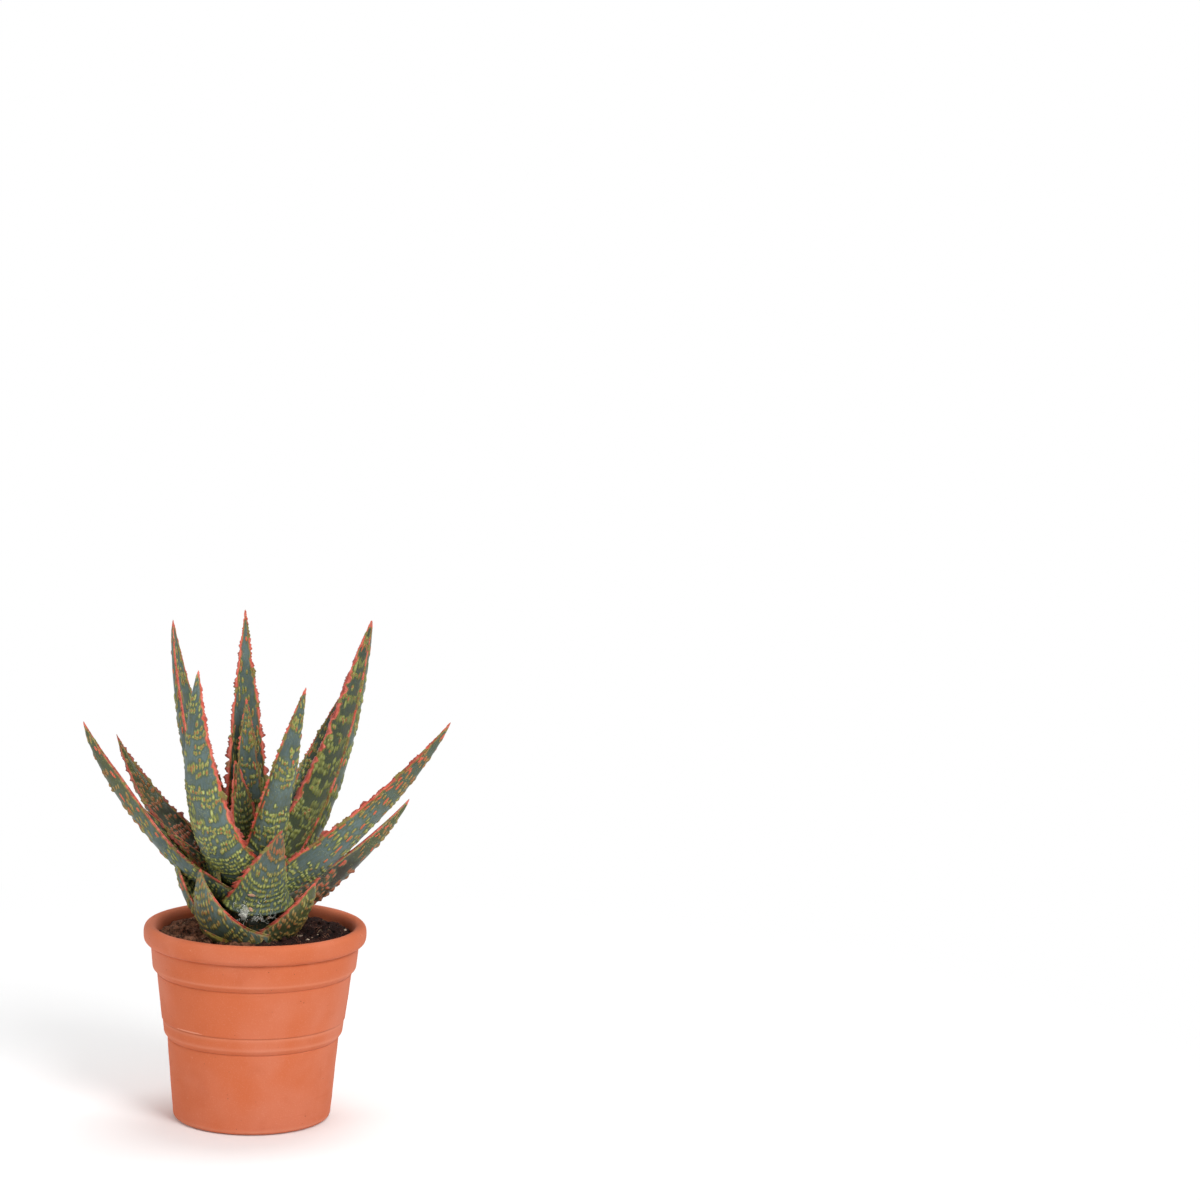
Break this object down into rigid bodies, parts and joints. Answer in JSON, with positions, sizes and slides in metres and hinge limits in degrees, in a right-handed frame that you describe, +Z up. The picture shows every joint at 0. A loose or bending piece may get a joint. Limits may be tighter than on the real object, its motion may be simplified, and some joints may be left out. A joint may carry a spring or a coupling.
{
  "type": "potted zebra aloe",
  "caption": "Rosette of thick pointed succulent leaves with toothed red margins and raised pale spots, growing in soil in a round clay pot with a rolled rim and stepped bands.",
  "frame": {"origin": "middle of the pot's foot, on the surface it stands on", "axes": "+Z up along the pot's axis, +X to the viewer's right, +Y away from the viewer"},
  "size_m": [0.2184, 0.1361, 0.3104],
  "materials": {
    "terracotta": "matt fired clay",
    "soil": "loose dark peat with fibres",
    "stem": "dull plant tissue",
    "leaf": "waxy skin with raised spots and red toothed margins"
  },
  "bodies": {
    "root": {"pot": "terracotta", "soil": "soil", "stem": "stem", "leaf_back_left_low": "leaf", "leaf_back_mid": "leaf", "leaf_back_right_low": "leaf", "leaf_back_tall": "leaf", "leaf_back_under": "leaf", "leaf_foot_small": "leaf", "leaf_front_left_short": "leaf", "leaf_front_right_short": "leaf", "leaf_front_short": "leaf", "leaf_heart": "leaf", "leaf_inner": "leaf", "leaf_left_front": "leaf", "leaf_left_long": "leaf", "leaf_left_short_back": "leaf", "leaf_left_tall": "leaf", "leaf_left_under": "leaf", "leaf_right_back": "leaf", "leaf_right_front": "leaf", "leaf_right_long": "leaf", "leaf_right_low": "leaf", "leaf_right_tall": "leaf", "leaf_right_under": "leaf"}
  },
  "joints": []
}
